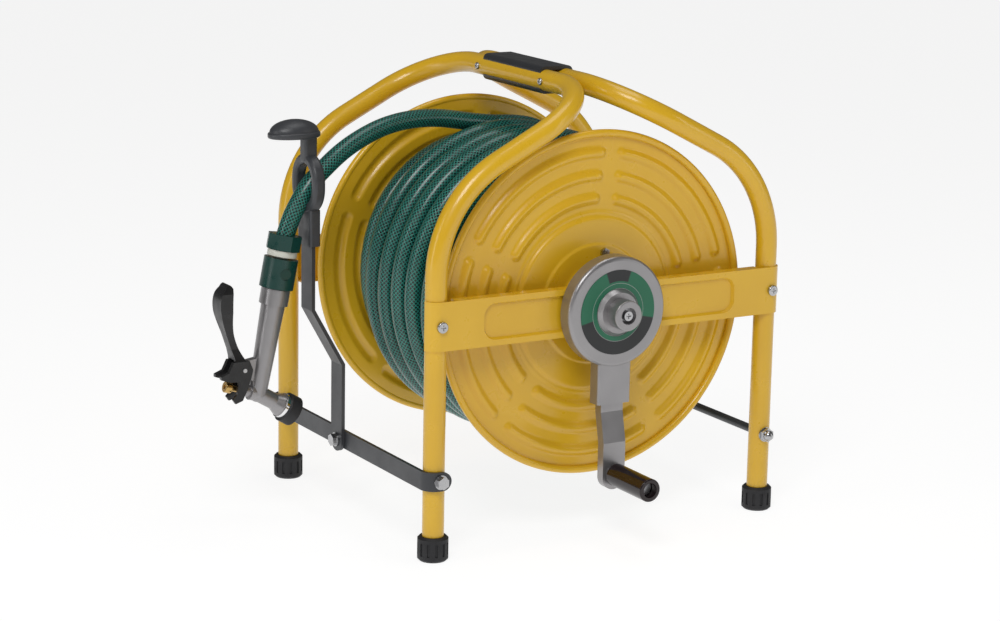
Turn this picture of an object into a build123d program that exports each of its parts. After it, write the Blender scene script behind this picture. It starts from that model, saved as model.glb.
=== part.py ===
"""Portable steel hose reel: 40 m of garden hose on a hand-cranked drum between two bent tubes.

Millimetres. +X runs along the crank side from the hose guide to the tie rod, +Y from the crank
to the water inlet, +Z up. The origin is on the floor, in the middle of the four feet.
"""
from build123d import *
import os
from math import atan2, cos, degrees, hypot, pi, radians, sin, tan

# ---- driving dimensions ----
TUBE_R, TUBE_WALL = 12.7, 1.6
LEG_X, LEG_Y = 227.0, 191.0
LEG_FOOT_Z = 5.0
SHOULDER_Z, SHOULDER_R = 417.0, 143.0
HANDLE_X, HANDLE_Z, HANDLE_BEND_R = 13.5, 527.0, 90.0
GRIP_HALF, GRIP_SCREW_Y = 68.0, 75.0
FOOT_R, FOOT_H = 18.0, 29.0

AXIS_X, AXIS_Z = -6.0, 277.0
FLANGE_R, SHEET = 206.0, 1.2
FRONT_FLANGE_Y, REAR_FLANGE_Y = -170.0, 137.0
RIM_R, DISH_R, DISH_RISE = 4.5, 102.0, 4.0
STEP_R, STEP_RISE, CONE_R, CONE_RISE, HUB_HOLE_R = 71.0, 6.0, 50.0, 13.0, 30.0
BEAD_RADII, BEAD_R, BEAD_GAPS, GAP_ANGLE, FIRST_GAP = (124.0, 151.0, 178.0), 7.0, 5, 10.0, 83.0
HUB_BOLTS, HUB_BOLT_R, FIRST_BOLT = 3, 61.5, 80.0
CORE_R = 101.0
SHAFT_R, SPINDLE_R, WATER_R = 10.0, 14.0, 7.0
RUNNING = 0.05
SCREW_X = 27.0

PLATE_T, PLATE_H, PLATE_FLANGE = 2.0, 57.0, 14.0
RECESS_HALF, RECESS_H, RECESS_R, RECESS_DEPTH = 172.0, 43.0, 15.0, 4.0
BAR_T, BAR_H, BAR_Z = 4.5, 22.0, 96.5
ROD_R = 5.0

CASE_R, CASE_BACK_Y, CASE_FACE_Y, BOSS_Y = 65.5, -206.3, -226.0, -250.0
GRIP_AXIS_Z, ARM_W, ARM_T, ARM_JOG = 83.0, 30.0, 12.0, 8.0
CRANK_GRIP_R, CRANK_GRIP_Y = 13.7, (-232.0, -305.5)

HOSE_R, LANE = 11.0, 24.0
LANES, FIRST_LANE_Y = 12, -149.0
INNER_OUT_R, OUTER_IN_R, COIL_R = 167.0, 167.4, 190.0
GROOVE_R, GROOVE_LANE = 145.0, 1
LAST_LANE = 9

GUIDE_Y, PIVOT_Z, MAST_W, MAST_T = 13.0, 95.0, 28.0, 4.5
MAST_X, MAST_TOP_X, JOG_Z = -246.75, -286.75, (190.0, 260.0)
EYE_Z, EYE_W, EYE_H, EYE_R, EYE_T = 410.5, 40.0, 46.0, 12.0, 15.0
KNOB_X, KNOB_Z, LIP_H = -305.5, 465.5, 7.0

CONNECT_TOP, LEAN = (-316.5, 352.0), 11.0
ELBOW, BARREL_DROP, VALVE_RISE = (-353.0, 164.5), 31.0, 16.0
LEVER_PIVOT = (-374.2, 196.1)

FRONT_LEG, REAR_LEG = -LEG_Y, LEG_Y
MIN_ALIGN = (Align.CENTER, Align.CENTER, Align.MIN)


# ---- small builders ----
def rod(start, end, radius, bore=0.0, tip=None):
    """A round bar from start to end, hollow with a bore, or a cone with a tip radius."""
    axis = Vector(*end) - Vector(*start)
    place = Plane(origin=start, z_dir=axis)
    shape = Cylinder(radius, axis.length, align=MIN_ALIGN)
    if tip is not None:
        shape = Cone(radius, tip, axis.length, align=MIN_ALIGN)
    solid = place * shape
    if bore:
        solid -= place * Cylinder(bore, axis.length, align=MIN_ALIGN)
    return solid


def block(x, y, z):
    """A box from pairs of limits."""
    size = (x[1] - x[0], y[1] - y[0], z[1] - z[0])
    middle = ((x[0] + x[1]) / 2, (y[0] + y[1]) / 2, (z[0] + z[1]) / 2)
    return Pos(*middle) * Box(*size)


def turned(points):
    """A solid of revolution about the drum axis, from (radius, y) corners."""
    wire = Polyline(*[(AXIS_X + r, y) for r, y in points], close=True)
    flat = Pos(0, 0, AXIS_Z) * make_face(wire)
    return revolve(flat, axis=Axis((AXIS_X, 0, AXIS_Z), (0, 1, 0)))


def axle(y0, y1, radius, bore=0.0):
    return rod((AXIS_X, y0, AXIS_Z), (AXIS_X, y1, AXIS_Z), radius, bore)


def on_axis(angle, radius, y):
    """A point round the drum axis."""
    turn = radians(angle)
    return AXIS_X + radius * cos(turn), y, AXIS_Z + radius * sin(turn)


def strip(points, thickness):
    """The outline of a bent flat bar, from the corners of its middle line."""
    sides = ([], [])
    for i, (a, b) in enumerate(points):
        before = points[max(i - 1, 0)]
        after = points[min(i + 1, len(points) - 1)]
        turns = []
        for p, q in ((before, (a, b)), ((a, b), after)):
            if p != q:
                turns.append(atan2(q[1] - p[1], q[0] - p[0]))
        bisector = sum(turns) / len(turns)
        reach = thickness / 2 / cos((turns[-1] - turns[0]) / 2)
        for side, sign in zip(sides, (1, -1)):
            side.append((a - sign * reach * sin(bisector), b + sign * reach * cos(bisector)))
    return sides[0] + sides[1][::-1]


def plate_xz(points, y0, y1):
    """A prism along Y from (x, z) corners."""
    face = Plane.XZ.offset(-y0) * make_face(Polyline(*points, close=True))
    return extrude(face, amount=y1 - y0, dir=(0, 1, 0))


def plate_yz(points, x0, x1):
    """A prism along X from (y, z) corners."""
    face = Plane.YZ.offset(x0) * make_face(Polyline(*points, close=True))
    return extrude(face, amount=x1 - x0, dir=(1, 0, 0))


def pan_head(point, direction, radius=5.0, height=3.2):
    """A domed screw head with a cross recess, seated at a point."""
    place = Plane(origin=point, z_dir=direction)
    head = place * Cylinder(radius, height, align=MIN_ALIGN)
    top_edge = head.edges().filter_by(GeomType.CIRCLE).group_by(Axis((0, 0, 0), direction))[-1]
    head = fillet(top_edge, 1.4)
    for size in ((radius, 1.3), (1.3, radius)):
        slot = Box(size[0], size[1], 1.6, align=MIN_ALIGN)
        head -= place * Pos(0, 0, height - 1.4) * slot
    return head


def hex_head(point, direction, across=13.0, height=6.0):
    place = Plane(origin=point, z_dir=direction)
    return place * extrude(RegularPolygon(across / 2, 6, major_radius=False), height)


def acorn_nut(point, direction, across=15.0):
    place = Plane(origin=point, z_dir=direction)
    nut = place * extrude(RegularPolygon(across / 2, 6, major_radius=False), 7)
    dome = place * Pos(0, 0, 7) * Sphere(across / 2 - 1)
    return nut + (dome - place * Pos(0, 0, -14) * Cylinder(across, 21, align=MIN_ALIGN))


def route(points):
    """Arc radii for a hose through points: 0.45 of the shorter run at each turn."""
    radii = []
    for a, b, c in zip(points, points[1:], points[2:]):
        first, second = Vector(*b) - Vector(*a), Vector(*c) - Vector(*b)
        turn = radians(first.get_angle(second))
        radii.append(0.45 * min(first.length, second.length) / tan(turn / 2))
    return radii


def hose(points):
    """A hose along straight runs joined by tangent arcs."""
    radii = route(points)
    path = FilletPolyline(*points, radius=radii)
    start = Vector(*points[0])
    disc = Plane(origin=start, z_dir=Vector(*points[1]) - start) * Circle(HOSE_R)
    solid = sweep(disc, path=path)
    print("hose radii", [round(r) for r in radii], "length", round(path.length, 1))
    print("hose volume ratio", round(solid.volume / (pi * HOSE_R**2 * path.length), 4))
    return solid


def save(name, *solids):
    parts = []
    for solid in solids:
        parts.extend(solid.solids())
    export_step(parts[0] if len(parts) == 1 else Compound(parts), f"parts/{name}.step")


# ---- frame ----
def frame_tube(side):
    """One bent tube: two legs, two shoulders and half the carrying handle."""
    x, inner = side * LEG_X, side * HANDLE_X
    points = [
        (x, FRONT_LEG, LEG_FOOT_Z),
        (x, FRONT_LEG, SHOULDER_Z),
        (inner, FRONT_LEG, HANDLE_Z),
        (inner, REAR_LEG, HANDLE_Z),
        (x, REAR_LEG, SHOULDER_Z),
        (x, REAR_LEG, LEG_FOOT_Z),
    ]
    path = FilletPolyline(*points, radius=[SHOULDER_R, HANDLE_BEND_R, HANDLE_BEND_R, SHOULDER_R])
    ring = Circle(TUBE_R) - Circle(TUBE_R - TUBE_WALL)
    return sweep(Pos(*points[0]) * ring, path=path)


def foot_cap(x, y):
    """A ribbed rubber cup pressed over a leg's end."""
    cup = Pos(x, y, 0) * Cylinder(FOOT_R, FOOT_H, align=MIN_ALIGN)
    cup = chamfer(cup.edges().filter_by(GeomType.CIRCLE), 2.5)
    cup -= Pos(x, y, LEG_FOOT_Z) * Cylinder(TUBE_R, FOOT_H, align=MIN_ALIGN)
    for i in range(12):
        groove = Box(2.4, 3.2, FOOT_H - 14, align=MIN_ALIGN)
        cup -= Pos(x, y, 7) * Rot(0, 0, 30 * i + 15) * Pos(FOOT_R, 0, 0) * groove
    return cup


def side_plate(face):
    """The yellow channel between two legs that carries a bearing; face is -1 in front, 1 behind."""
    tube_y = face * LEG_Y
    skin = tube_y + face * TUBE_R
    outer = skin + face * PLATE_T
    low, high = AXIS_Z - PLATE_H / 2, AXIS_Z + PLATE_H / 2
    body = block((-LEG_X, LEG_X), sorted((skin, outer)), (low, high))
    for side in (-1, 1):
        wrap = Circle(TUBE_R + PLATE_T) - Circle(TUBE_R)
        corner = Pos(side * 25, face * 25) * Rectangle(50, 50)
        sector = extrude(wrap & corner, PLATE_H)
        body += Pos(side * LEG_X, tube_y, low) * sector
    flange_x = LEG_X - TUBE_R - 6
    flange_y = sorted((outer, outer - face * PLATE_FLANGE))
    for z0 in (low, high - PLATE_T):
        body += block((-flange_x, flange_x), flange_y, (z0, z0 + PLATE_T))
    mouth = RectangleRounded(2 * RECESS_HALF, RECESS_H, RECESS_R)
    place = Plane(origin=(0, outer, AXIS_Z), x_dir=(1, 0, 0), z_dir=(0, -face, 0))
    back = RectangleRounded(2 * RECESS_HALF + 4, RECESS_H + 4, RECESS_R + 2)
    tray = place * extrude(back, RECESS_DEPTH + PLATE_T, taper=30)
    hollow = place * extrude(mouth, RECESS_DEPTH, taper=30)
    body = body + tray - hollow
    hole_r = SHAFT_R + 5.1 if face < 0 else SPINDLE_R + 5.1
    inside = skin - face * 30
    body -= axle(*sorted((inside, outer + face)), hole_r)
    for x, radius in ((-LEG_X, 3.1), (AXIS_X - SCREW_X, 2.1), (AXIS_X + SCREW_X, 2.1), (LEG_X, 3.1)):
        body -= rod((x, inside, AXIS_Z), (x, outer + face, AXIS_Z), radius)
    return body


def bearing(face, bore):
    """A flanged bush and the two screws that hold it in the recess of a side plate."""
    floor = face * (LEG_Y + TUBE_R + PLATE_T - RECESS_DEPTH)
    back = floor - face * PLATE_T
    top = floor + face * 4
    place = Plane(origin=(AXIS_X, floor, AXIS_Z), x_dir=(1, 0, 0), z_dir=(0, face, 0))
    bush = place * extrude(SlotOverall(2 * SCREW_X + 16, 36), 4)
    bush += axle(*sorted((back - face * 3, top)), bore + 5)
    bush -= axle(*sorted((back - face * 4, top + face)), bore)
    screws = []
    for x in (AXIS_X - SCREW_X, AXIS_X + SCREW_X):
        shank = rod((x, back, AXIS_Z), (x, top, AXIS_Z), 2.1)
        bush -= shank
        screws.append(pan_head((x, top, AXIS_Z), (0, face, 0), 3.8, 2.2) + shank)
    return bush, screws


def side_bar():
    """The flat bar between the left legs, its ends bent round to bolted tabs."""
    inner = -LEG_X - TUBE_R
    low, high = BAR_Z - BAR_H / 2, BAR_Z + BAR_H / 2
    bar = block((inner - BAR_T, inner), (FRONT_LEG, REAR_LEG), (low, high))
    for face in (-1, 1):
        wrap = (Circle(TUBE_R + BAR_T) - Circle(TUBE_R)) & (Pos(-25, face * 25) * Rectangle(50, 50))
        bar += Pos(-LEG_X, face * LEG_Y, low) * extrude(wrap, BAR_H)
        front = face * (LEG_Y + TUBE_R)
        tab = block((-LEG_X, -LEG_X + 3), sorted((front, front + face * BAR_T)), (low, high))
        end = (-LEG_X + 3, front, BAR_Z)
        tab += rod(end, (end[0], front + face * BAR_T, BAR_Z), BAR_H / 2)
        bar += tab
        bar -= rod((-LEG_X, front - face, BAR_Z), (-LEG_X, front + face * 9, BAR_Z), 4.1)
    return bar - rod((inner - 9, GUIDE_Y, PIVOT_Z), (inner + 3, GUIDE_Y, PIVOT_Z), 4.1)


def cross_bolt(x, y, face, washer_at):
    """A bolt through a tube along Y: head and washer outside, shank inside the tube wall."""
    seat = (x, washer_at, BAR_Z)
    end = (x, y - face * (TUBE_R + 1), BAR_Z)
    bolt = rod(seat, (x, washer_at + face * 1.6, BAR_Z), 8.5)
    bolt += hex_head((x, washer_at + face * 1.6, BAR_Z), (0, face, 0))
    bolt += rod(seat, end, 4.0)
    return bolt + hex_head(end, (0, -face, 0), 13, 5)


def grip_shell(upper):
    """Half of the plastic carrying grip, over or under both handle tubes."""
    sign = 1 if upper else -1
    tube = rod((0, -GRIP_HALF - 1, 0), (0, GRIP_HALF + 1, 0), TUBE_R)
    reach = HANDLE_X + 9.0
    crown = TUBE_R + 3.6
    y = (-GRIP_HALF, GRIP_HALF)
    shell = block((-reach, reach), y, sorted((sign * (TUBE_R - 5.5), sign * crown)))
    long_edges = shell.edges().filter_by(Axis.Y).group_by(Axis.Z)[-1 if upper else 0]
    shell = fillet(long_edges, 7)
    for side in (-1, 1):
        shell -= Pos(side * HANDLE_X, 0, 0) * tube
    channel = block((-6.5, 6.5), (y[0] - 1, y[1] + 1), sorted((0, sign * (TUBE_R - 1))))
    shell -= channel
    return Pos(0, 0, HANDLE_Z) * shell


def build_frame():
    for side, name in ((-1, "left"), (1, "right")):
        tube = frame_tube(side)
        for face in (-1, 1):
            leg = (side * LEG_X, face * LEG_Y)
            for z, radius in ((BAR_Z, 4.1), (AXIS_Z, 3.1)):
                through = rod((leg[0], leg[1] - 20, z), (leg[0], leg[1] + 20, z), radius)
                tube -= through
            y = face * GRIP_SCREW_Y
            tube -= rod((side * 2, y, HANDLE_Z), (side * 40, y, HANDLE_Z), 2.6)
            end = "front" if face < 0 else "rear"
            save(f"foot_{end}_{name}", foot_cap(*leg))
        save(f"frame_tube_{name}", tube)
    save("front_plate", side_plate(-1))
    save("rear_plate", side_plate(1))
    save("grip_upper_shell", grip_shell(True))
    save("grip_lower_shell", grip_shell(False))

    grip_screws, plate_screws = [], []
    for side in (-1, 1):
        for face in (-1, 1):
            y = face * GRIP_SCREW_Y
            seat = (side * (HANDLE_X + TUBE_R), y, HANDLE_Z)
            shank = rod((side * 3, y, HANDLE_Z), seat, 2.6)
            grip_screws.append(pan_head(seat, (side, 0, 0), 4.2, 2.4) + shank)
            skin = face * (LEG_Y + TUBE_R + PLATE_T)
            seat = (side * LEG_X, skin, AXIS_Z)
            hole = rod((side * LEG_X, face * (LEG_Y - TUBE_R - 2), AXIS_Z), seat, 3.1)
            plate_screws.append(pan_head(seat, (0, face, 0), 6.5, 4.2) + hole)
    save("grip_screws", *grip_screws)
    save("plate_screws", *plate_screws)

    save("side_bar", side_bar())
    bolts = []
    for face in (-1, 1):
        bolts.append(cross_bolt(-LEG_X, face * LEG_Y, face, face * (LEG_Y + TUBE_R + BAR_T)))
    save("side_bar_bolts", *bolts)
    rod_end = LEG_Y + TUBE_R + 4
    save("tie_rod", rod((LEG_X, -rod_end, BAR_Z), (LEG_X, rod_end, BAR_Z), 4.1)
         + rod((LEG_X, -LEG_Y + TUBE_R, BAR_Z), (LEG_X, LEG_Y - TUBE_R, BAR_Z), ROD_R))
    nuts = []
    for face in (-1, 1):
        seat = (LEG_X, face * (LEG_Y + TUBE_R), BAR_Z)
        nut = acorn_nut(seat, (0, face, 0)) + rod(seat, (LEG_X, seat[1] + face * 1.5, BAR_Z), 9)
        nuts.append(nut - rod(seat, (LEG_X, face * rod_end, BAR_Z), 4.1))
    save("tie_rod_nuts", *nuts)


def build_bearings():
    """Bearings, and the fixed half of the water swivel behind the rear plate."""
    front, front_screws = bearing(-1, SHAFT_R + RUNNING)
    rear, rear_screws = bearing(1, SPINDLE_R + RUNNING)
    save("front_bearing", front)
    save("rear_bearing", rear)
    save("front_bearing_screws", *front_screws)
    save("rear_bearing_screws", *rear_screws)
    back = LEG_Y + TUBE_R + PLATE_T - RECESS_DEPTH + 4
    body = axle(back, back + 26, 20) - axle(back, back + 20, SPINDLE_R + 3)
    body += hex_ring(back + 26, 10, 30) + axle(back + 36, back + 50, 10.48)
    body += axle(back + 35.5, back + 37.5, 14)
    body -= axle(back + 19, back + 51, WATER_R)
    save("water_inlet", body)
    save("swivel_seal", axle(back + 12, back + 15, SPINDLE_R + 3, SPINDLE_R + RUNNING))
    return back


def hex_ring(y, height, across):
    place = Plane(origin=(AXIS_X, y, AXIS_Z), z_dir=(0, 1, 0))
    return place * extrude(RegularPolygon(across / 2, 6, major_radius=False), height)


# ---- drum ----
def flange(face, plane_y):
    """A pressed sheet flange: rolled rim, three rows of bead arcs, a raised dish and a cone."""
    out, t = face, SHEET
    profile = [
        (FLANGE_R - RIM_R, plane_y), (DISH_R + 4, plane_y),
        (DISH_R - 4, plane_y + out * DISH_RISE), (STEP_R + 1, plane_y + out * DISH_RISE),
        (STEP_R - 1, plane_y + out * STEP_RISE), (CONE_R, plane_y + out * STEP_RISE),
        (HUB_HOLE_R + 6, plane_y + out * CONE_RISE), (HUB_HOLE_R, plane_y + out * CONE_RISE),
    ]
    inner = [(r, y - out * t) for r, y in profile[::-1]]
    disc = turned(profile + inner)
    rim_y = plane_y + out * (RIM_R - 2.4)
    section = Pos(AXIS_X + FLANGE_R - RIM_R, rim_y, AXIS_Z) * Circle(RIM_R)
    disc += revolve(section, axis=Axis((AXIS_X, 0, AXIS_Z), (0, 1, 0)))
    for radius in BEAD_RADII:
        blank = 360 / BEAD_GAPS
        gap = GAP_ANGLE * BEAD_RADII[1] / radius
        for i in range(BEAD_GAPS):
            start = FIRST_GAP + blank * i + gap / 2
            sweep_angle = blank - gap
            disc += bead(radius, start, sweep_angle, plane_y, out)
    for i in range(HUB_BOLTS):
        angle = FIRST_BOLT + 360 / HUB_BOLTS * i
        disc -= rod(on_axis(angle, HUB_BOLT_R, plane_y - 9), on_axis(angle, HUB_BOLT_R, plane_y + 9), 3.1)
    return disc


def bead(radius, start, angle, plane_y, out):
    """One raised bead: a half-round ridge along an arc, with ball ends."""
    sunk = plane_y - out * 2.4
    section = Pos(radius, 0) * Circle(BEAD_R)
    arc = revolve(section, axis=Axis.Y, revolution_arc=angle)
    ridge = Pos(AXIS_X, sunk, AXIS_Z) * Rot(0, -start - angle, 0) * arc
    for turn in (start, start + angle):
        ridge += Pos(*on_axis(turn, radius, sunk)) * Sphere(BEAD_R)
    far = sorted((plane_y - out * SHEET, plane_y + out * 12))
    keep = axle(far[0], far[1], FLANGE_R)
    return ridge & keep


def hub(face, plane_y, bore):
    """A cast hub bolted behind a flange's dish."""
    seat = plane_y + face * (STEP_RISE - SHEET)
    disc = axle(*sorted((seat, seat - face * 6)), STEP_R - 3, bore)
    boss = axle(*sorted((seat - face * 20, seat + face * 15)), HUB_HOLE_R - 2, bore)
    bolts = []
    for i in range(HUB_BOLTS):
        angle = FIRST_BOLT + 360 / HUB_BOLTS * i
        head = on_axis(angle, HUB_BOLT_R, seat + face * SHEET)
        tail = on_axis(angle, HUB_BOLT_R, seat - face * 6)
        disc -= rod(tail, head, 3.1)
        bolt = rod(tail, head, 3.1) + hex_head(head, (0, face, 0), 10, 4.5)
        bolts.append(bolt + hex_head(tail, (0, -face, 0), 9, 5))
    return disc + boss, bolts


def build_drum(back):
    save("flange_front", flange(-1, FRONT_FLANGE_Y))
    save("flange_rear", flange(1, REAR_FLANGE_Y))
    core_y = (FRONT_FLANGE_Y + SHEET, REAR_FLANGE_Y - SHEET)
    port_y = 92.0
    port_angle = -30.0
    core = axle(*core_y, CORE_R, CORE_R - SHEET)
    outward = on_axis(port_angle, CORE_R + 8, port_y)
    core -= rod(on_axis(port_angle, CORE_R - 8, port_y), outward, 9)
    save("drum_core", core)
    front_hub, front_bolts = hub(-1, FRONT_FLANGE_Y, SHAFT_R)
    rear_hub, rear_bolts = hub(1, REAR_FLANGE_Y, SPINDLE_R)
    save("hub_front", front_hub)
    save("hub_rear", rear_hub)
    save("hub_bolts_front", *front_bolts)
    save("hub_bolts_rear", *rear_bolts)
    save("drive_shaft", axle(BOSS_Y + 10, FRONT_FLANGE_Y + 18, SHAFT_R))
    spindle = axle(REAR_FLANGE_Y - 60, back + 17, SPINDLE_R) - axle(port_y, back + 18, WATER_R)
    elbow_start = on_axis(port_angle, 0, port_y)
    spindle -= rod(elbow_start, on_axis(port_angle, SPINDLE_R + 2, port_y), WATER_R - 1)
    save("water_spindle", spindle)
    pipe_end = on_axis(port_angle, CORE_R - 0.4, port_y)
    pipe = rod(on_axis(port_angle, SPINDLE_R - 2, port_y), pipe_end, 8.8, WATER_R - 1)
    save("water_pipe", pipe - axle(port_y - 20, port_y + 20, SPINDLE_R))

    half = LANE / 2
    y0, y1 = FIRST_LANE_Y - half, FIRST_LANE_Y + LANE * (LANES - 1) + half
    groove = FIRST_LANE_Y + LANE * GROOVE_LANE
    coil = axle(y0, y1, INNER_OUT_R, CORE_R + 0.3)
    coil -= axle(groove - half - 0.4, groove + half + 0.4, INNER_OUT_R + 1, GROOVE_R)
    save("hose_wound", coil)


# ---- crank ----
def build_crank():
    case = axle(CASE_FACE_Y, CASE_BACK_Y, CASE_R)
    face_edge = case.edges().filter_by(GeomType.CIRCLE).group_by(Axis.Y)[0]
    case = fillet(face_edge, 5)
    case -= axle(CASE_BACK_Y - 12, CASE_BACK_Y, 42)
    case += axle(CASE_BACK_Y - 13, CASE_BACK_Y, 18)
    root = rod((AXIS_X, CASE_FACE_Y, AXIS_Z), (AXIS_X, CASE_FACE_Y - 6, AXIS_Z), 28, tip=24)
    boss = axle(BOSS_Y, CASE_FACE_Y - 4, 18.0)
    boss = fillet(boss.edges().filter_by(GeomType.CIRCLE).group_by(Axis.Y)[0], 1.5)
    case += root + boss
    socket = block((AXIS_X - 22.5, AXIS_X + 22.5), (-224, CASE_BACK_Y), (167, 225))
    socket = fillet(socket.edges().filter_by(Axis.Z).group_by(Axis.Y)[0], 4)
    case += socket - axle(CASE_FACE_Y + 1, CASE_BACK_Y + 8, 60)
    case -= axle(BOSS_Y - 1, BOSS_Y + 1.5, 7.0)
    case -= axle(BOSS_Y - 1, CASE_BACK_Y + 1, SHAFT_R)
    slot = block((AXIS_X - ARM_W / 2 + 2, AXIS_X + ARM_W / 2 - 2), (-218, -208.5), (166, 192))
    case -= slot
    save("crank_case", case)
    save("crank_label", axle(CASE_FACE_Y - 0.6, CASE_FACE_Y, 50, 28.5))
    screw = axle(BOSS_Y + 0.4, BOSS_Y + 10, 5.6)
    for size in ((6.4, 1.4), (1.4, 6.4)):
        screw -= block((AXIS_X - size[0] / 2, AXIS_X + size[0] / 2), (BOSS_Y, BOSS_Y + 2.4),
                       (AXIS_Z - size[1] / 2, AXIS_Z + size[1] / 2))
    save("crank_screw", screw)

    top, low = -213.0, -213.0 - ARM_JOG
    line = [(top, 166.9), (top, 156.0), (low, 120.0), (low, GRIP_AXIS_Z - 4)]
    half = ARM_W / 2
    arm = plate_yz(strip(line, ARM_T), AXIS_X - half, AXIS_X + half)
    tongue = block((AXIS_X - half + 2, AXIS_X + half - 2), (-218, -208.5), (166, 192))
    foot = (low - ARM_T / 2, low + ARM_T / 2)
    arm += rod((AXIS_X, foot[0], GRIP_AXIS_Z - 4), (AXIS_X, foot[1], GRIP_AXIS_Z - 4), half)
    arm += tongue
    pin_hole = rod((AXIS_X, foot[0] - 1, GRIP_AXIS_Z), (AXIS_X, foot[1] + 1, GRIP_AXIS_Z), 5)
    arm -= pin_hole
    save("crank_arm", arm)
    shoulder = CRANK_GRIP_Y[0] + 0.5
    inner = CRANK_GRIP_Y[1] + 14
    pin = rod((AXIS_X, foot[1], GRIP_AXIS_Z), (AXIS_X, inner, GRIP_AXIS_Z), 5)
    pin += rod((AXIS_X, foot[0], GRIP_AXIS_Z), (AXIS_X, shoulder, GRIP_AXIS_Z), 9)
    pin += rod((AXIS_X, inner, GRIP_AXIS_Z), (AXIS_X, inner - 3, GRIP_AXIS_Z), 8)
    save("crank_pin", pin)
    start, end = CRANK_GRIP_Y
    grip = rod((AXIS_X, start, GRIP_AXIS_Z), (AXIS_X, end, GRIP_AXIS_Z), CRANK_GRIP_R, 5 + RUNNING)
    grip = fillet(grip.edges().filter_by(GeomType.CIRCLE).sort_by(SortBy.RADIUS)[-2:], 1.5)
    grip -= rod((AXIS_X, inner + 0.5, GRIP_AXIS_Z), (AXIS_X, end - 1, GRIP_AXIS_Z), 8.8)
    save("crank_grip", grip)


# ---- hose on the frame's side: outermost layer and tail ----
def build_outer_hose():
    half = LANE / 2
    first = FIRST_LANE_Y + LANE * GROOVE_LANE
    last = FIRST_LANE_Y + LANE * LAST_LANE
    turns = axle(first - half, last + half, COIL_R, OUTER_IN_R)
    turns += axle(first - half, first + half, COIL_R, GROOVE_R + 0.4)
    top = AXIS_Z + COIL_R - HOSE_R
    exit_cut = block((AXIS_X - 120, AXIS_X), (last - half - 7, last + half + 1), (AXIS_Z + 60, AXIS_Z + 210))
    turns -= exit_cut
    save("hose_outer_turns", turns)
    split_low, split_high = (-248.0, 20.2, 436.2), (-248.45, 20.075, 435.983)
    span = [
        (AXIS_X, last, top), (-44, 64, 462), (-86, 58, 469), (-130, 50, 470.5),
        (-172, 41, 465), (-209, 31, 455), split_low,
    ]
    save("hose_tail_span", hose(span))
    end = [split_high, (-266, 15.215, 427.523), (-287, 13, 408), (-302, 13, 384), CONNECT_END]
    save("hose_tail_end", hose(end))


# ---- hose guide ----
def down(distance, across=0.0):
    """A point on the nozzle's handle axis, a distance below the connector's top."""
    lean = radians(LEAN)
    x, z = CONNECT_TOP
    x += -distance * sin(lean) + across * cos(lean)
    z += -distance * cos(lean) - across * sin(lean)
    return x, GUIDE_Y, z


CONNECT_END = down(0.5)


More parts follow.
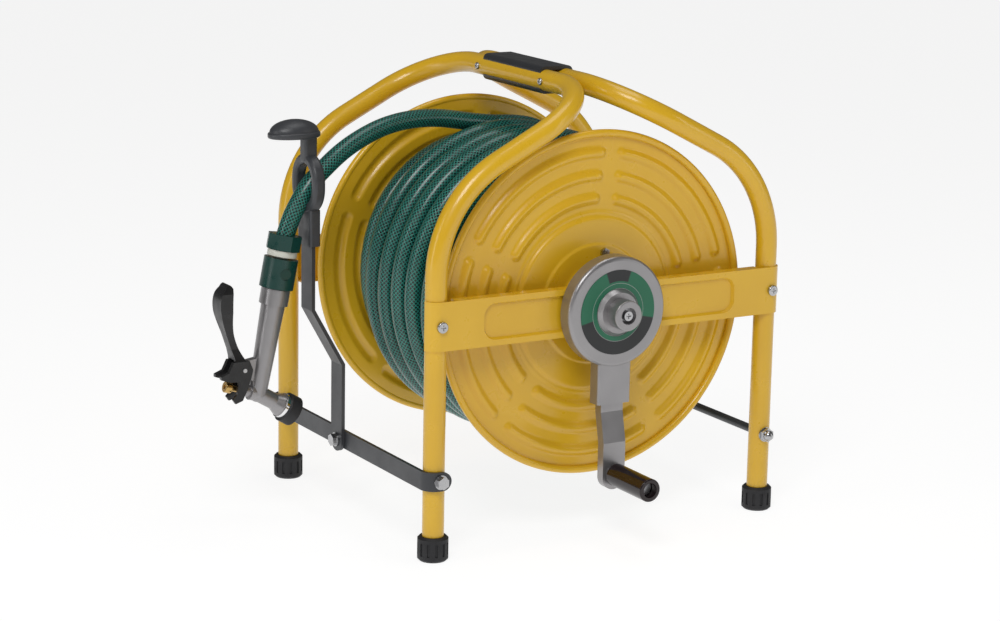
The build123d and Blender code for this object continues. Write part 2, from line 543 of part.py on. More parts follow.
def build_guide():
    top_z = 343.0
    line = [(MAST_X, PIVOT_Z), (MAST_X, JOG_Z[0]), (MAST_TOP_X, JOG_Z[1]), (MAST_TOP_X, top_z)]
    half = MAST_W / 2
    mast = plate_xz(strip(line, MAST_T), GUIDE_Y - half, GUIDE_Y + half)
    outer, inner = MAST_X - MAST_T / 2, MAST_X + MAST_T / 2
    mast += rod((outer, GUIDE_Y, PIVOT_Z), (inner, GUIDE_Y, PIVOT_Z), half)
    mast -= rod((outer - 1, GUIDE_Y, PIVOT_Z), (inner + 1, GUIDE_Y, PIVOT_Z), 4.1)
    save("guide_mast", mast)

    bar_face = -LEG_X - TUBE_R
    bolt = rod((outer - 0.3, GUIDE_Y, PIVOT_Z), (outer - 2.1, GUIDE_Y, PIVOT_Z), 8.5)
    bolt += hex_head((outer - 2.1, GUIDE_Y, PIVOT_Z), (-1, 0, 0), 13, 5.5)
    bolt += rod((outer - 2, GUIDE_Y, PIVOT_Z), (bar_face + 8, GUIDE_Y, PIVOT_Z), 4.0)
    nut = rod((bar_face, GUIDE_Y, PIVOT_Z), (bar_face + 1.6, GUIDE_Y, PIVOT_Z), 8.5)
    bolt += nut + hex_head((bar_face + 1.6, GUIDE_Y, PIVOT_Z), (1, 0, 0), 13, 6)
    save("mast_bolt", bolt)

    x = MAST_TOP_X
    socket = block((x - 6, x + 8), (GUIDE_Y - 17, GUIDE_Y + 17), (337, 380))
    socket = fillet(socket.edges().filter_by(Axis.Z), 3)
    socket += block((x - 6, x + 7), (GUIDE_Y - 12, GUIDE_Y + 12), (379, EYE_Z - EYE_H / 2 - 5))
    socket -= block((x - MAST_T / 2, x + MAST_T / 2), (GUIDE_Y - half, GUIDE_Y + half), (336, top_z))
    eye = SlotOverall(EYE_H + 2 * EYE_R, EYE_W + 2 * EYE_R, rotation=90)
    hole = SlotOverall(EYE_H, EYE_W, rotation=90)
    place = Plane(origin=(x - EYE_T / 2, GUIDE_Y, EYE_Z), x_dir=(0, 1, 0), z_dir=(1, 0, 0))
    ring = place * extrude(eye - hole, EYE_T)
    edges = ring.edges().group_by(Axis.X)
    ring = fillet(edges[0] + edges[-1], 4.5)
    stem = block((x - 8, x + 8), (GUIDE_Y - 8, GUIDE_Y + 8), (EYE_Z + EYE_H / 2 + 4, KNOB_Z + 4))
    stem = fillet(stem.edges().filter_by(Axis.Z), 3)
    hollow = place * Pos(0, 0, -5) * extrude(hole, EYE_T + 10)
    save("guide_eye", (socket + stem - hollow) + ring)
    plan = Plane(origin=(KNOB_X, GUIDE_Y, KNOB_Z)) * Ellipse(32.5, 21.5)
    knob = extrude(plan, LIP_H)
    knob = fillet(knob.edges(), 2.4)
    crown = KNOB_Z + LIP_H - 0.5
    ball = Pos(KNOB_X, GUIDE_Y, crown) * scale(Sphere(1), by=(30.5, 19.5, 15.0))
    below = block((KNOB_X - 50, KNOB_X + 50), (GUIDE_Y - 40, GUIDE_Y + 40), (KNOB_Z - 30, crown - 1))
    knob += ball - below
    knob -= block((x - 8, x + 8), (GUIDE_Y - 8, GUIDE_Y + 8), (KNOB_Z - 1, KNOB_Z + 4))
    save("guide_knob", knob)


def octagon(start, end, across):
    axis = Vector(*end) - Vector(*start)
    place = Plane(origin=start, z_dir=axis)
    return place * extrude(RegularPolygon(across / 2, 8, major_radius=False), axis.length)


def build_nozzle():
    nut = octagon(down(0.5), down(18.3), 38.5) - rod(down(-1), down(12), HOSE_R + 0.6)
    nut = nut - rod(down(12), down(20), 8)
    save("connector_nut", nut)
    stem = rod(down(12), down(60), 8, 5) + rod(down(19), down(26), 17.5, 5)
    save("connector_stem", stem)
    sleeve = rod(down(28.5), down(64), 20.2, 14.9)
    sleeve += rod(down(28.5), down(33), 15.5, 8.4)
    button_x, _, button_z = down(45)
    face, floor = GUIDE_Y - 21, GUIDE_Y - 17.5
    sleeve -= rod((button_x, face - 2, button_z), (button_x, floor, button_z), 7)
    save("connector_sleeve", sleeve)
    save("release_button", rod((button_x, face + 2, button_z), (button_x, floor, button_z), 6.8))

    dx, dz = cos(radians(BARREL_DROP)), -sin(radians(BARREL_DROP))

    def along(distance, across=0.0):
        return ELBOW[0] + dx * distance + dz * across, GUIDE_Y, ELBOW[1] + dz * distance - dx * across

    elbow = (ELBOW[0], GUIDE_Y, ELBOW[1])
    adaptor = rod(down(60.3), down(83.8), 14.5, 5.5)
    adaptor += rod(down(65), down(83.8), 17.2, 5.5)
    save("nozzle_adaptor", adaptor)
    handle = rod(down(84), elbow, 14.3, tip=11.0)
    handle += Pos(*elbow) * Sphere(11.0)
    handle += rod(elbow, along(24), 10.0)
    handle += rod(along(24), along(33), 10.0, tip=14.0)
    handle += rod(along(33), along(35), 14.0)
    handle += rod(elbow, valve(11), 10.0) + rod(valve(11), valve(24), 7.0)
    ears = [(-382, 192), (-380, 201), (-372, 205), (-352, 208), (-350, 176), (-368, 184)]
    handle += plate_xz(ears, GUIDE_Y - 5, GUIDE_Y + 5)
    handle -= rod(down(83), down(187), 7)
    handle -= rod(along(-4), along(36), 7)
    handle -= rod(elbow, valve(14), 5.6)
    handle -= rod(valve(13), valve(26), 4.0 + RUNNING)
    px, pz = LEVER_PIVOT
    handle -= rod((px, GUIDE_Y - 20, pz), (px, GUIDE_Y + 20, pz), 2.5)
    save("nozzle_body", handle)
    save("spray_cone", rod(along(35), along(40.5), 15.2, 7) - rod(along(38), along(41), 12))
    save("spray_ring", rod(along(40.5), along(54.5), 18.0, 9.5))
    save("lever_pin", rod((px, GUIDE_Y - 12.5, pz), (px, GUIDE_Y + 12.5, pz), 2.5))
    save("valve_stem", rod(valve(4), valve(35.7), 4.0) + rod(valve(2), valve(6), 5.3))
    knob = rod(valve(36), valve(44), 6.8)
    knob = fillet(knob.edges().filter_by(GeomType.CIRCLE), 0.8)
    save("flow_knob", knob - rod(valve(42.5), valve(45), 2.6))
    save("nozzle_lever", lever_shape())


def valve(distance):
    """A point on the valve's axis, out from the elbow towards the flow knob."""
    rise = radians(VALVE_RISE)
    return ELBOW[0] - distance * cos(rise), GUIDE_Y, ELBOW[1] + distance * sin(rise)


def lever_shape():
    """The squeeze lever: a bulbous paddle on a thin neck, and two cheeks beside the valve."""
    stations = [
        (-392.5, 295.0, 4.5), (-396.0, 285.0, 7.4), (-396.8, 273.0, 7.9), (-394.8, 255.0, 6.2),
        (-390.6, 238.0, 4.6), (-385.5, 223.0, 4.6), (-380.0, 210.0, 6.0), (-376.0, 199.0, 9.0),
    ]
    front = Spline(*[(x - t, z) for x, z, t in stations])
    back = Spline(*[(x + t, z) for x, z, t in stations[::-1]])
    top = Spline(back @ 1, (stations[0][0] - 0.5, 299.5), front @ 0)
    bottom = Line(front @ 1, back @ 0)
    side = Plane.XZ.offset(-GUIDE_Y + 12) * make_face([front, bottom, back, top])
    paddle = extrude(side, amount=24, dir=(0, 1, 0))
    middle = [
        (-9, 300), (9, 300), (12, 289), (12, 266), (7.5, 240), (7.5, 222), (11.5, 206), (11.5, 150),
        (-11.5, 150), (-11.5, 206), (-7.5, 222), (-7.5, 240), (-12, 266), (-12, 289),
    ]
    paddle = paddle & plate_yz([(GUIDE_Y + y, z) for y, z in middle], -430, -340)
    cheek = [
        (-388, 207), (-368, 207), (-363.5, 196), (-366, 186), (-371, 172), (-377, 160), (-386, 157),
        (-389.5, 162), (-384, 168), (-382, 183), (-392, 183.5), (-404, 187.5), (-404, 191), (-394, 195),
    ]
    lever = paddle + plate_xz(cheek, GUIDE_Y - 11.5, GUIDE_Y + 11.5)
    lever -= block((-420, -340), (GUIDE_Y - 7.5, GUIDE_Y + 7.5), (140, 188))
    lever -= block((-420, -340), (GUIDE_Y - 5.6, GUIDE_Y + 5.6), (187, 209))
    px, pz = LEVER_PIVOT
    return lever - rod((px, GUIDE_Y - 20, pz), (px, GUIDE_Y + 20, pz), 2.5 + RUNNING)


os.makedirs("parts", exist_ok=True)
build_frame()
swivel_back = build_bearings()
build_drum(swivel_back)
build_crank()
build_outer_hose()
build_guide()
build_nozzle()
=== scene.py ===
from math import cos, exp, hypot, pi, radians, sin, tau

import bpy
from mathutils import Matrix, Vector


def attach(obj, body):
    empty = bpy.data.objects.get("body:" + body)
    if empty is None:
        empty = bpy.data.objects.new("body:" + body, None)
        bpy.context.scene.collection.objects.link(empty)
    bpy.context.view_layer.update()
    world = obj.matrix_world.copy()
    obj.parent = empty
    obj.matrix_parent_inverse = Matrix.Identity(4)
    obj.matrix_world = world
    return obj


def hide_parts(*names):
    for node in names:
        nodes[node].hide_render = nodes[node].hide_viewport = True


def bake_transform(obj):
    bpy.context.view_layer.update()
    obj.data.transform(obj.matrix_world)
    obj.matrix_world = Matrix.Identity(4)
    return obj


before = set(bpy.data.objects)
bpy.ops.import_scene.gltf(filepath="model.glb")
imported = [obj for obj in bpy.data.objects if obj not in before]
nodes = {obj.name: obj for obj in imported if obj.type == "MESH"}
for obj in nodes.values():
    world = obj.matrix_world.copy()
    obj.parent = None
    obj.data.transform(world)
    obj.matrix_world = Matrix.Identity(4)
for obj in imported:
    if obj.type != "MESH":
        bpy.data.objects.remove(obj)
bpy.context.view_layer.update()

scene = bpy.context.scene

AXIS_X, AXIS_Z = -0.006, 0.277
FRONT_Y, REAR_Y = -0.170, 0.137
HOSE_R = 0.011
FIRST_LANE, LANE, PACKED = -0.149, 0.024, 0.0224


# ---- camera ----
def make_camera():
    yaw, pitch, roll = radians(30.28), radians(12.82), radians(1.06)
    back = Vector((-sin(yaw) * cos(pitch), -cos(yaw) * cos(pitch), sin(pitch)))
    right = Vector((cos(yaw), -sin(yaw), 0))
    up = back.cross(right)
    tilted = right * cos(roll) + up * sin(roll)
    upright = up * cos(roll) - right * sin(roll)
    data = bpy.data.cameras.new("camera")
    data.lens = 97.32
    data.sensor_width = 36
    data.clip_end = 50
    camera = bpy.data.objects.new("camera", data)
    scene.collection.objects.link(camera)
    turn = Matrix((tilted, upright, back)).transposed().to_4x4()
    camera.matrix_world = Matrix.Translation((-1.6618, -2.7916, 0.9706)) @ turn
    scene.camera = camera


# ---- materials ----
class Shader:
    """A node tree being built: each call adds one node and returns its output."""

    def __init__(self, name):
        self.material = bpy.data.materials.new(name)
        self.material.use_nodes = True
        self.tree = self.material.node_tree
        self.surface = self.tree.nodes["Principled BSDF"]

    def node(self, kind, **settings):
        n = self.tree.nodes.new(kind)
        for key, value in settings.items():
            setattr(n, key, value)
        return n

    def put(self, socket, value):
        if isinstance(value, bpy.types.NodeSocket):
            self.tree.links.new(value, socket)
        else:
            socket.default_value = value

    def math(self, operation, a, b=0.0, clamp=False):
        n = self.node("ShaderNodeMath", operation=operation, use_clamp=clamp)
        self.put(n.inputs[0], a)
        self.put(n.inputs[1], b)
        return n.outputs[0]

    def noise(self, scale, detail=3.0, rough=0.5, vector=None, stretch=None):
        if vector is None:
            vector = self.node("ShaderNodeTexCoord").outputs["Object"]
        if stretch:
            m = self.node("ShaderNodeMapping")
            m.inputs["Scale"].default_value = stretch
            self.put(m.inputs["Vector"], vector)
            vector = m.outputs[0]
        n = self.node("ShaderNodeTexNoise")
        self.put(n.inputs["Vector"], vector)
        n.inputs["Scale"].default_value = scale
        n.inputs["Detail"].default_value = detail
        n.inputs["Roughness"].default_value = rough
        return n.outputs["Fac"]

    def span(self, value, low, high, to_low, to_high):
        n = self.node("ShaderNodeMapRange")
        for i, v in enumerate((value, low, high, to_low, to_high)):
            self.put(n.inputs[i], v)
        return n.outputs[0]

    def mix(self, factor, a, b):
        n = self.node("ShaderNodeMix", data_type="RGBA")
        self.put(n.inputs["Factor"], factor)
        self.put(n.inputs["A"], a)
        self.put(n.inputs["B"], b)
        return n.outputs["Result"]

    def bump(self, height, distance, strength=1.0, normal=None):
        n = self.node("ShaderNodeBump")
        n.inputs["Strength"].default_value = strength
        n.inputs["Distance"].default_value = distance
        self.put(n.inputs["Height"], height)
        if normal is not None:
            self.put(n.inputs["Normal"], normal)
        return n.outputs[0]

    def set(self, **inputs):
        for key, value in inputs.items():
            self.put(self.surface.inputs[key.replace("_", " ")], value)
        return self.material


def rgb(r, g, b):
    return (r, g, b, 1.0)


def coat_paint(name, colour, dark, rough=0.30, peel=0.00006, coat=0.35):
    """Powder coat: orange peel, faint cloudiness, and a darker tone where dust settles."""
    s = Shader(name)
    cloud = s.noise(9.0, 4.0, 0.6)
    tint = s.mix(s.span(cloud, 0.35, 0.75, 0.0, 0.35), colour, dark)
    speck = s.span(s.noise(900.0, 2.0), 0.68, 0.74, 0.0, 0.18)
    tint = s.mix(speck, tint, dark)
    fine = s.bump(s.noise(420.0, 2.0), peel, 0.6)
    skin = s.bump(s.noise(60.0, 2.0), peel * 6, 0.35, fine)
    roughness = s.span(s.noise(35.0, 3.0), 0.3, 0.7, rough - 0.05, rough + 0.07)
    return s.set(Base_Color=tint, Roughness=roughness, Normal=skin, Coat_Weight=coat, Coat_Roughness=0.12)


def moulded(name, colour, rough=0.45, grain=0.00008, worn=None):
    """Moulded plastic or rubber: fine spark texture and slight cloudiness."""
    s = Shader(name)
    worn = worn or tuple(min(1.0, c * 1.5 + 0.004) for c in colour[:3]) + (1.0,)
    tint = s.mix(s.span(s.noise(22.0, 5.0, 0.65), 0.4, 0.75, 0.0, 0.4), colour, worn)
    spark = s.bump(s.noise(1500.0, 3.0, 0.7), grain, 0.8)
    roughness = s.span(s.noise(80.0, 4.0), 0.3, 0.7, rough - 0.08, rough + 0.1)
    return s.set(Base_Color=tint, Roughness=roughness, Normal=spark)


def metal(name, colour, rough, stretch=(1, 1, 1), scale=300.0, bump=0.00003, spread=0.09):
    """Bare or plated metal with fine directional marks."""
    s = Shader(name)
    lines = s.noise(scale, 4.0, 0.65, stretch=stretch)
    dull = tuple(c * 0.72 for c in colour[:3]) + (1.0,)
    tint = s.mix(s.span(s.noise(40.0, 4.0), 0.35, 0.7, 0.0, 0.5), colour, dull)
    roughness = s.span(lines, 0.3, 0.7, rough - spread, rough + spread)
    return s.set(Base_Color=tint, Metallic=1.0, Roughness=roughness, Normal=s.bump(lines, bump, 0.7))


def braid():
    """Clear green hose over crossed teal threads on a near-black core."""
    s = Shader("braided_hose")
    uv = s.node("ShaderNodeSeparateXYZ")
    s.put(uv.inputs[0], s.node("ShaderNodeTexCoord").outputs["UV"])
    along, around = uv.outputs[0], uv.outputs[1]
    threads = None
    for sign in (1, -1):
        turned = s.math("ADD", s.math("MULTIPLY", along, 1.0), s.math("MULTIPLY", around, float(sign)))
        wave = s.math("SINE", s.math("MULTIPLY", turned, tau * 14))
        line = s.span(wave, 0.45, 0.95, 0.0, 1.0)
        threads = line if threads is None else s.math("MAXIMUM", threads, line)
    crossed = s.math("MULTIPLY", threads, s.span(s.noise(45.0, 2.0), 0.3, 0.7, 0.8, 1.0))
    core = s.mix(s.noise(30.0, 3.0), rgb(0.0008, 0.0045, 0.0045), rgb(0.0015, 0.0100, 0.0090))
    thread = s.mix(s.noise(260.0, 2.0), rgb(0.016, 0.200, 0.155), rgb(0.040, 0.340, 0.275))
    tint = s.mix(crossed, core, thread)
    relief = s.bump(threads, 0.00035, 0.5)
    film = s.bump(s.noise(120.0, 2.0), 0.00015, 0.3, relief)
    roughness = s.span(s.noise(70.0, 3.0), 0.3, 0.7, 0.24, 0.36)
    return s.set(Base_Color=tint, Roughness=roughness, Normal=film, Coat_Weight=0.35, Coat_Roughness=0.18)


def label_film():
    """A printed ring with plain bands: green above, charcoal below, and no lettering."""
    s = Shader("printed_label")
    place = s.node("ShaderNodeSeparateXYZ")
    s.put(place.inputs[0], s.node("ShaderNodeTexCoord").outputs["Object"])
    across = s.math("SUBTRACT", place.outputs[0], AXIS_X)
    rise = s.math("SUBTRACT", place.outputs[2], AXIS_Z)
    radius = s.math("SQRT", s.math("ADD", s.math("MULTIPLY", across, across), s.math("MULTIPLY", rise, rise)))
    angle = s.math("ARCTAN2", rise, across)
    lower = s.span(angle, -0.23, -0.20, 1.0, 0.0)
    below = s.math("MULTIPLY", lower, s.span(angle, -2.94, -2.91, 0.0, 1.0))
    outer = s.math("MULTIPLY", below, s.span(radius, 0.0338, 0.0342, 0.0, 1.0))
    top = s.math("MULTIPLY", s.span(angle, 1.21, 1.24, 0.0, 1.0), s.span(angle, 1.90, 1.93, 1.0, 0.0))
    top = s.math("MULTIPLY", top, s.span(radius, 0.0366, 0.0370, 0.0, 1.0))
    dark = s.math("MAXIMUM", outer, top)
    tint = s.mix(dark, rgb(0.006, 0.130, 0.062), rgb(0.012, 0.013, 0.014))
    line = s.math("COMPARE", radius, 0.0343)
    line.node.inputs[2].default_value = 0.0003
    tint = s.mix(s.math("MULTIPLY", line, 0.5), tint, rgb(0.5, 0.5, 0.5))
    film = s.bump(s.noise(200.0, 2.0), 0.00004, 0.4)
    return s.set(Base_Color=tint, Roughness=s.span(s.noise(60.0), 0.3, 0.7, 0.28, 0.38), Normal=film)


MATERIAL = {
    "yellow": coat_paint("yellow_powder_coat", rgb(0.740, 0.440, 0.014), rgb(0.600, 0.320, 0.008)),
    "grey": coat_paint("grey_powder_coat", rgb(0.034, 0.036, 0.041), rgb(0.024, 0.025, 0.029), 0.42, coat=0.1),
    "zinc": metal("zinc_plate", rgb(0.50, 0.50, 0.51), 0.24),
    "steel": metal("turned_steel", rgb(0.52, 0.52, 0.53), 0.32, (1, 30, 1), 120.0),
    "chrome": metal("bright_chrome", rgb(0.86, 0.86, 0.87), 0.09, scale=90.0, bump=0.00001, spread=0.03),
    "cast": coat_paint("silver_casting", rgb(0.33, 0.32, 0.325), rgb(0.25, 0.245, 0.25), 0.34, 0.00008, 0.15),
    "brass": metal("turned_brass", rgb(0.62, 0.40, 0.14), 0.24, (20, 1, 20), 160.0),
    "rubber": moulded("black_rubber", rgb(0.012, 0.012, 0.014), 0.62, 0.00012),
    "plastic": moulded("grey_moulding", rgb(0.040, 0.042, 0.047), 0.38),
    "shell": moulded("dark_shell", rgb(0.026, 0.028, 0.032), 0.34),
    "lever": moulded("black_moulding", rgb(0.009, 0.009, 0.010), 0.33, 0.00005),
    "bakelite": moulded("black_bakelite", rgb(0.009, 0.003, 0.004), 0.14, 0.00001),
    "green": moulded("green_moulding", rgb(0.004, 0.042, 0.034), 0.33, 0.00005),
    "white": moulded("white_moulding", rgb(0.62, 0.62, 0.55), 0.40, 0.00004),
    "hose": braid(),
    "label": label_film(),
}
MATERIAL["cast"].node_tree.nodes["Principled BSDF"].inputs["Metallic"].default_value = 0.75

FINISH = {
    "yellow": (
        "frame_tube_left", "frame_tube_right", "front_plate", "rear_plate", "flange_front", "flange_rear",
    ),
    "grey": ("side_bar", "guide_mast", "tie_rod"),
    "zinc": (
        "side_bar_bolts", "tie_rod_nuts", "mast_bolt", "plate_screws", "grip_screws", "crank_screw",
        "front_bearing_screws", "rear_bearing_screws", "hub_bolts_front", "hub_bolts_rear",
    ),
    "steel": ("hub_front", "hub_rear", "drive_shaft", "crank_pin", "water_pipe", "lever_pin", "drum_core"),
    "chrome": ("spray_cone",),
    "cast": ("crank_case", "crank_arm", "nozzle_body", "nozzle_adaptor"),
    "brass": ("water_spindle", "water_inlet", "valve_stem", "flow_knob"),
    "rubber": (
        "foot_front_left", "foot_front_right", "foot_rear_left", "foot_rear_right", "swivel_seal", "spray_ring",
    ),
    "plastic": ("guide_eye", "guide_knob", "front_bearing", "rear_bearing"),
    "shell": ("grip_upper_shell", "grip_lower_shell"),
    "lever": ("nozzle_lever",),
    "bakelite": ("crank_grip",),
    "green": ("connector_nut", "connector_sleeve", "release_button"),
    "white": ("connector_stem",),
    "hose": ("hose_wound", "hose_outer_turns", "hose_tail_span", "hose_tail_end"),
    "label": ("crank_label",),
}


def paint(obj, key):
    obj.data.materials.clear()
    obj.data.materials.append(MATERIAL[key])


def paint_frame():
    for key, names in FINISH.items():
        for name in names:
            for slot in nodes[name].material_slots:
                slot.material = MATERIAL[key]
            if not nodes[name].material_slots:
                nodes[name].data.materials.append(MATERIAL[key])


# ---- meshes ----
def new_mesh(name, points, faces, key, uvs=None):
    mesh = bpy.data.meshes.new(name)
    mesh.from_pydata([tuple(p) for p in points], [], faces)
    for polygon in mesh.polygons:
        polygon.use_smooth = True
    if uvs:
        layer = mesh.uv_layers.new(name="UVMap")
        for loop, uv in zip(layer.data, uvs):
            loop.uv = uv
    mesh.update()
    obj = bpy.data.objects.new(name, mesh)
    scene.collection.objects.link(obj)
    paint(obj, key)
    return obj


def curve_line(points, fineness):
    """Points along the order-3 NURBS spline of a route."""
    curve = bpy.data.curves.new("route", "CURVE")
    curve.dimensions = "3D"
    spline = curve.splines.new("NURBS")
    spline.points.add(len(points) - 1)
    for p, co in zip(spline.points, points):
        p.co = (*co, 1)
    spline.order_u = 3
    spline.use_endpoint_u = True
    spline.resolution_u = fineness
    holder = bpy.data.objects.new("route", curve)
    scene.collection.objects.link(holder)
    mesh = bpy.data.meshes.new_from_object(holder)
    line = [v.co.copy() for v in mesh.vertices]
    bpy.data.objects.remove(holder)
    bpy.data.curves.remove(curve)
    bpy.data.meshes.remove(mesh)
    return line


def tube(name, line, sides, key, phase=0.0):
    """A closed hose along a line, with a map in hose turns: u along it, v round it."""
    tangents = []
    for i in range(len(line)):
        tangents.append((line[min(i + 1, len(line) - 1)] - line[max(i - 1, 0)]).normalized())
    side = tangents[0].cross(Vector((0, 1, 0)))
    if side.length < 0.2:
        side = tangents[0].cross(Vector((0, 0, 1)))
    points, lengths, walked = [], [], phase
    for i, (centre, tangent) in enumerate(zip(line, tangents)):
        side = (side - tangent * side.dot(tangent)).normalized()
        other = tangent.cross(side)
        if i:
            walked += (centre - line[i - 1]).length
        lengths.append(walked / (tau * HOSE_R))
        for k in range(sides):
            turn = tau * k / sides
            points.append(centre + (side * cos(turn) + other * sin(turn)) * HOSE_R)
    faces, uvs = [], []
    for i in range(len(line) - 1):
        for k in range(sides):
            after = (k + 1) % sides
            faces.append((i * sides + k, i * sides + after, (i + 1) * sides + after, (i + 1) * sides + k))
            for row, column in ((i, k), (i, k + 1), (i + 1, k + 1), (i + 1, k)):
                uvs.append((lengths[row], column / sides))
    for cap, first in ((tuple(range(sides))[::-1], 0), (tuple(range(sides)), (len(line) - 1) * sides)):
        faces.append(tuple(first + k for k in cap))
        uvs.extend((lengths[0], 0.0) for _ in cap)
    return new_mesh(name, points, faces, key, uvs), walked


def helix_point(turn, radius, y):
    """A control point of a coil whose spline then runs at the radius."""
    reach = radius / cos(pi / 16)
    return Vector((AXIS_X + reach * cos(turn), y, AXIS_Z + reach * sin(turn)))


# ---- hose ----
def wound_route():
    """Three layers on the drum: in from the core's port, to the front, back, and to the front again."""
    points = []
    start = radians(-30)
    step = tau / 16
    lanes = [(0.1125, 11.3, 0.0), (0.1340, 0.0, 11.8), (0.1555, 11.8, 1.6)]
    turn = start
    points.append(Vector((AXIS_X + 0.100 * cos(turn), 0.098, AXIS_Z + 0.100 * sin(turn))))
    for layer, (radius, first, last) in enumerate(lanes):
        count = round(abs(last - first) * 16)
        for i in range(count + 1):
            turn += step
            lane = first + (last - first) * i / count
            wobble = 0.0006 * sin(turn * 0.37 + layer)
            points.append(helix_point(turn, radius + wobble, FIRST_LANE + PACKED * lane))
        for i in range(1, 5):
            turn += step
            if layer < 2:
                rise = radius + 0.0215 * i / 5
                points.append(helix_point(turn, rise, FIRST_LANE + PACKED * last))
    return points


def outer_route():
    """The outermost layer: one turn down in the front lane, then five and a half loose ones."""
    points = []
    step = tau / 16
    turns = 6.55
    count = round(turns * 16)
    first = radians(90) - step * count
    for i in range(count + 1):
        turn = first + step * i
        done = i / 16
        sunk = 0.156 + 0.022 * min(1.0, max(0.0, (done - 0.95) / 0.45))
        lane = 1 + 8 * (max(0.0, done - 1.2) / (turns - 1.2)) ** 0.88
        lean = 0.0030 * sin(turn * 1.0 + done * 2.1) + 0.0018 * sin(turn * 2.3 + 1.0)
        sag = 0.0012 * sin(turn * 0.71 + 0.4)
        fade = min(1.0, (count - i) / 20, i / 20)
        reach = sunk - 0.0006 + sag * fade
        points.append(helix_point(turn, reach, FIRST_LANE + LANE * lane + lean * fade))
    last = points.pop()
    points.append(Vector((AXIS_X + 0.034, last.y, 0.4545)))
    points.append(Vector((AXIS_X, last.y, 0.4555)))
    return points


TAIL = [
    (-0.006, 0.067, 0.4555), (-0.044, 0.064, 0.4605), (-0.086, 0.058, 0.469), (-0.130, 0.050, 0.4715),
    (-0.172, 0.041, 0.467), (-0.209, 0.031, 0.456), (-0.240, 0.0222, 0.4425), (-0.266, 0.015, 0.4255),
    (-0.287, 0.013, 0.408), (-0.302, 0.013, 0.384), (-0.3115, 0.013, 0.366), (-0.3172, 0.013, 0.3485),
]


def make_hoses():
    line = curve_line(wound_route(), 3)
    wound, _ = tube("wound_hose", line, 14, "hose")
    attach(wound, "drum")
    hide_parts("hose_wound")

    line = curve_line(outer_route(), 7)
    outer, walked = tube("outer_hose", line, 28, "hose")
    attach(outer, "frame")
    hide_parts("hose_outer_turns")

    line = curve_line([Vector(p) for p in TAIL], 14)
    tail, _ = tube("tail_hose", line, 28, "hose", walked)
    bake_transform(tail)
    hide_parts("hose_tail_span", "hose_tail_end")


# ---- drum flanges ----
BEADS = (0.124, 0.151, 0.178)
BEAD_HALF, BEAD_REACH, BEAD_HEIGHT, BEAD_SHAPE = 0.0082, 0.0085, 0.0044, 1.5
GAP, FIRST_GAP, GAPS, GAP_WIDENING = radians(10), radians(83), 5, 0.004
SHEET, HOLE_R, EDGE_R, RIM_R, RIM_OUT = 0.0012, 0.0305, 0.2015, 0.0044, 0.0021
AROUND, RINGS, ROLL = 600, 128, 20


def ease(x):
    x = min(1.0, max(0.0, x))
    return x * x * (3 - 2 * x)


def pressed_height(r, turn):
    """How far the sheet stands out from the rim's plane: step rings, hub cone and bead arcs."""
    height = 0.0040 * ease((0.1065 - r) / 0.0065)
    height += 0.0012 * exp(-(((r - 0.1075) / 0.0022) ** 2))
    height += 0.0020 * ease((0.0725 - r) / 0.0028)
    height += 0.0070 * ease((0.0500 - r) / 0.0150)
    for bead in BEADS:
        if abs(r - bead) > BEAD_REACH:
            continue
        gap = (GAP * BEADS[1] + GAP_WIDENING) / bead
        blank = tau / GAPS
        middle = ((turn - FIRST_GAP) % blank) - blank / 2
        past = max(0.0, abs(middle) - (blank - gap) / 2) * bead
        reach = hypot(r - bead, past) / BEAD_HALF
        if reach < 1:
            height = max(height, BEAD_HEIGHT * cos(reach * pi / 2) ** BEAD_SHAPE)
    return height


def make_flange(name, node, plane_y, out):
    """A pressed sheet flange with soft beads, inside and out, and a rolled rim."""
    rings = [HOLE_R + (EDGE_R - HOLE_R) * i / RINGS for i in range(RINGS + 1)]
    points, faces = [], []
    sides = []
    for side in (0, 1):
        rows = []
        for r in rings:
            row = len(points)
            rows.append(row)
            for k in range(AROUND):
                turn = tau * k / AROUND
                y = plane_y + out * (pressed_height(r, turn) - SHEET * side)
                points.append((AXIS_X + r * cos(turn), y, AXIS_Z + r * sin(turn)))
        sides.append(rows)
    for side, rows in enumerate(sides):
        for inner, outer in zip(rows, rows[1:]):
            for k in range(AROUND):
                after = (k + 1) % AROUND
                face = (inner + k, outer + k, outer + after, inner + after)
                faces.append(face if (out < 0) == (side == 0) else face[::-1])
    for k in range(AROUND):
        after = (k + 1) % AROUND
        face = (sides[0][0] + k, sides[0][0] + after, sides[1][0] + after, sides[1][0] + k)
        faces.append(face if out < 0 else face[::-1])
    first = len(points)
    for k in range(AROUND):
        turn = tau * k / AROUND
        for j in range(ROLL):
            a = tau * j / ROLL
            r = EDGE_R + RIM_R * cos(a)
            y = plane_y + out * (RIM_OUT + RIM_R * sin(a))
            points.append((AXIS_X + r * cos(turn), y, AXIS_Z + r * sin(turn)))
    for k in range(AROUND):
        after = (k + 1) % AROUND
        for j in range(ROLL):
            up = (j + 1) % ROLL
            here, there = first + k * ROLL, first + after * ROLL
            face = (here + j, there + j, there + up, here + up)
            faces.append(face if out > 0 else face[::-1])
    flange = new_mesh(name, points, faces, "yellow")
    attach(flange, "drum")
    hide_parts(node)


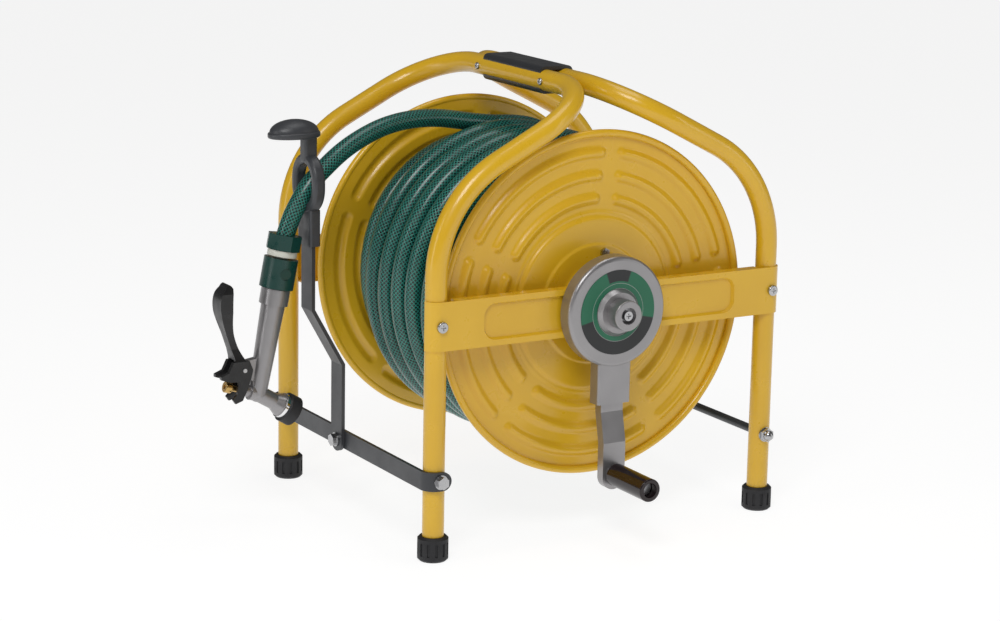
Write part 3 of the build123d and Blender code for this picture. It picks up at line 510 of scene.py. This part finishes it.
def make_floor():
    """A plain pale floor that glows a little, so that it stays pale under soft light."""
    half = 12.0
    corners = [(-half, -half, 0), (half, -half, 0), (half, half, 0), (-half, half, 0)]
    s = Shader("studio_floor")
    s.set(Base_Color=rgb(0.22, 0.22, 0.22), Roughness=0.9, Emission_Color=rgb(1, 1, 1), Emission_Strength=0.86)
    mesh = bpy.data.meshes.new("floor")
    mesh.from_pydata(corners, [], [(0, 1, 2, 3)])
    mesh.materials.append(s.material)
    floor = bpy.data.objects.new("floor", mesh)
    scene.collection.objects.link(floor)


make_camera()
make_floor()
paint_frame()
make_hoses()
make_flange("pressed_flange_front", "flange_front", FRONT_Y, -1)
make_flange("pressed_flange_rear", "flange_rear", REAR_Y, 1)


# ---- light ----
def area(name, place, target, size, power, colour=(1, 1, 1)):
    data = bpy.data.lights.new(name, "AREA")
    data.shape = "RECTANGLE"
    data.size, data.size_y = size
    data.energy = power
    data.color = colour
    lamp = bpy.data.objects.new(name, data)
    lamp.location = place
    lamp.rotation_euler = (Vector(target) - Vector(place)).to_track_quat("-Z", "Y").to_euler()
    scene.collection.objects.link(lamp)


def make_light():
    world = bpy.data.worlds.new("studio")
    scene.world = world
    world.use_nodes = True
    tree = world.node_tree
    back = tree.nodes["Background"]
    back.inputs[0].default_value = rgb(1, 1, 1)
    back.inputs[1].default_value = 1.0
    dim = tree.nodes.new("ShaderNodeBackground")
    dim.inputs[0].default_value = rgb(1.0, 0.99, 0.97)
    dim.inputs[1].default_value = 0.12
    path = tree.nodes.new("ShaderNodeLightPath")
    mix = tree.nodes.new("ShaderNodeMixShader")
    tree.links.new(path.outputs["Is Camera Ray"], mix.inputs[0])
    tree.links.new(dim.outputs[0], mix.inputs[1])
    tree.links.new(back.outputs[0], mix.inputs[2])
    tree.links.new(mix.outputs[0], tree.nodes["World Output"].inputs[0])
    area("key", (-1.5, -1.9, 2.5), (0, 0, 0.3), (1.2, 1.2), 42)
    area("top", (0.3, -0.2, 2.6), (0, 0, 0.3), (1.6, 1.0), 12)
    area("side", (2.0, -1.9, 1.0), (0, 0, 0.3), (0.6, 1.6), 6)
    area("left", (-2.4, -0.2, 0.9), (0, 0, 0.3), (0.5, 1.6), 7)
    scene.view_settings.view_transform = "Standard"


make_light()
